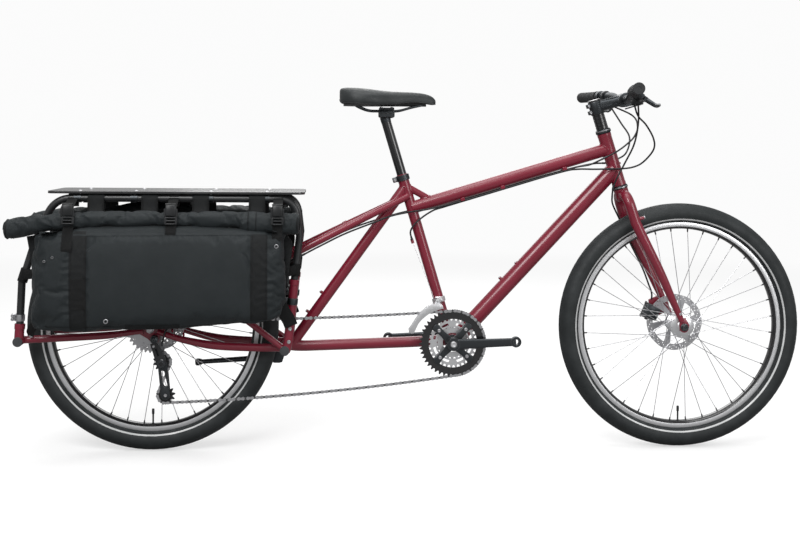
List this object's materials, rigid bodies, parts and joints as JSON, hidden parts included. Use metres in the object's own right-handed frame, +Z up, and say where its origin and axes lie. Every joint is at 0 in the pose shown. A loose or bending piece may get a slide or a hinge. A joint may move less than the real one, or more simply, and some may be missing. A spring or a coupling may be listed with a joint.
{
  "type": "longtail cargo bicycle",
  "caption": "Longtail cargo bicycle with a stretched rear frame, a load deck on rack loops, two roll-top side bags, disc brakes and a derailleur drivetrain.",
  "frame": {"origin": "centre of the object's box in plan, at ground level under the tyres", "axes": "+X forward along the bicycle's length, +Y to the rider's left, +Z up"},
  "size_m": [2.176, 0.685, 1.0078],
  "materials": {
    "red_paint": "gloss burgundy enamel",
    "black_paint": "satin black powder coat",
    "black_alloy": "black anodised",
    "tyre": "matt black rubber",
    "grip_rubber": "matt",
    "rim_alloy": "black anodised with bright brake tracks",
    "steel": "bright",
    "fabric": "coated charcoal canvas",
    "saddle_cover": "matt synthetic leather",
    "plastic": "moulded black",
    "deck_board": "smooth dark board"
  },
  "bodies": {
    "frame": {"frame": "red_paint", "rack_loop_right": "black_paint", "rack_loop_left": "black_paint", "deck": "deck_board", "deck_clamp_1": "black_alloy", "deck_clamp_2": "black_alloy", "deck_clamp_3": "black_alloy", "deck_clamp_4": "black_alloy", "bag_right": "fabric", "bag_left": "fabric", "seat_clamp": "black_alloy", "headset_upper_cup": "black_alloy", "headset_lower_cup": "black_alloy", "bottom_bracket": "black_alloy", "front_derailleur_clamp": "steel", "rear_derailleur_body": "black_alloy", "kickstand_bracket": "black_alloy", "rear_brake_caliper": "black_alloy", "rear_axle": "steel", "chain": "steel"},
    "seat": {"seatpost": "black_alloy", "saddle_rails": "black_alloy", "saddle": "saddle_cover"},
    "crank": {"crank_spindle": "steel", "crank_right": "black_alloy", "crank_left": "black_alloy", "chainring_outer": "black_alloy", "chainring_middle": "steel", "chainring_inner": "steel"},
    "cassette": {"cassette": "steel"},
    "front_derailleur_cage": {"front_derailleur_cage": "steel"},
    "rear_derailleur_link": {"rear_derailleur_link": "black_alloy"},
    "rear_derailleur_cage": {"rear_derailleur_cage": "black_alloy"},
    "pulley_upper": {"derailleur_pulley_upper": "plastic"},
    "pulley_lower": {"derailleur_pulley_lower": "plastic"},
    "kickstand": {"kickstand_leg": "black_alloy"},
    "rear_wheel": {"rear_hub_and_spokes": "steel", "rear_rim": "rim_alloy", "rear_tyre": "tyre", "rear_rotor": "steel"},
    "steering": {"fork": "red_paint", "headset_spacers": "black_alloy", "stem": "black_alloy", "handlebar": "black_alloy", "grip_right": "grip_rubber", "grip_left": "grip_rubber", "brake_clamp_right": "black_alloy", "brake_clamp_left": "black_alloy", "shifter_right": "plastic", "shifter_left": "plastic", "front_brake_caliper": "black_alloy", "front_axle": "steel"},
    "front_wheel": {"front_hub_and_spokes": "steel", "front_rim": "rim_alloy", "front_tyre": "tyre", "front_rotor": "steel"},
    "brake_lever_right": {"brake_lever_right": "black_alloy"},
    "brake_lever_left": {"brake_lever_left": "black_alloy"},
    "shift_trigger_right": {"shift_trigger_right": "plastic"},
    "shift_trigger_left": {"shift_trigger_left": "plastic"}
  },
  "joints": [
    {"name": "steering_turn", "type": "hinge", "parent": "frame", "child": "steering", "pos_m": [0.5731, 0, 0.7339], "axis": [-0.2997, 0, 0.954], "range_deg": [-60, 60]},
    {"name": "front_wheel_spin", "type": "hinge", "parent": "steering", "child": "front_wheel", "pos_m": [0.7455, 0, 0.3425], "axis": [0, 1, 0], "continuous": true},
    {"name": "rear_wheel_spin", "type": "hinge", "parent": "frame", "child": "rear_wheel", "pos_m": [-0.721, 0, 0.3425], "axis": [0, 1, 0], "continuous": true},
    {"name": "crank_spin", "type": "hinge", "parent": "frame", "child": "crank", "pos_m": [0.099, 0, 0.3], "axis": [0, 1, 0], "continuous": true},
    {"name": "cassette_spin", "type": "hinge", "parent": "frame", "child": "cassette", "pos_m": [-0.721, 0, 0.3425], "axis": [0, 1, 0], "continuous": true},
    {"name": "rear_shift", "type": "slide", "parent": "frame", "child": "rear_derailleur_link", "axis": [0, 0.6634, -0.7482], "range_m": [0, 0.04], "deforming": ["chain"]},
    {"name": "cage_swing", "type": "hinge", "parent": "rear_derailleur_link", "child": "rear_derailleur_cage", "pos_m": [-0.6885, -0.0625, 0.252], "axis": [0, 1, 0], "range_deg": [-30, 15]},
    {"name": "pulley_upper_spin", "type": "hinge", "parent": "rear_derailleur_cage", "child": "pulley_upper", "pos_m": [-0.6885, -0.0625, 0.252], "axis": [0, 1, 0], "continuous": true},
    {"name": "pulley_lower_spin", "type": "hinge", "parent": "rear_derailleur_cage", "child": "pulley_lower", "pos_m": [-0.679, -0.0625, 0.163], "axis": [0, 1, 0], "continuous": true},
    {"name": "front_shift", "type": "slide", "parent": "frame", "child": "front_derailleur_cage", "axis": [0, 1, 0], "range_m": [0, 0.013]},
    {"name": "seat_height", "type": "slide", "parent": "frame", "child": "seat", "axis": [-0.2922, 0, 0.9564], "range_m": [-0.11, 0.05]},
    {"name": "kickstand_swing", "type": "hinge", "parent": "frame", "child": "kickstand", "pos_m": [-0.386, 0.084, 0.24], "axis": [0, -1, 0], "range_deg": [0, 100]},
    {"name": "brake_lever_right_pull", "type": "hinge", "parent": "steering", "child": "brake_lever_right", "pos_m": [0.58712, -0.21181, 0.9703], "axis": [-0.5969, 0.1014, -0.7959], "range_deg": [0, 18]},
    {"name": "shift_trigger_right_push", "type": "hinge", "parent": "steering", "child": "shift_trigger_right", "pos_m": [0.58386, -0.16092, 0.9563], "axis": [0.2895, -0.0608, -0.9552], "range_deg": [0, 25]},
    {"name": "brake_lever_left_pull", "type": "hinge", "parent": "steering", "child": "brake_lever_left", "pos_m": [0.58712, 0.21181, 0.9703], "axis": [0.5969, 0.1014, 0.7959], "range_deg": [0, 18]},
    {"name": "shift_trigger_left_push", "type": "hinge", "parent": "steering", "child": "shift_trigger_left", "pos_m": [0.58386, 0.16092, 0.9563], "axis": [-0.2895, -0.0608, 0.9552], "range_deg": [0, 25]}
  ],
  "couplings": [
    {"joint": "cassette_spin", "follows": "crank_spin", "ratio": 4},
    {"joint": "pulley_upper_spin", "follows": "crank_spin", "ratio": -4},
    {"joint": "pulley_lower_spin", "follows": "crank_spin", "ratio": 4}
  ]
}
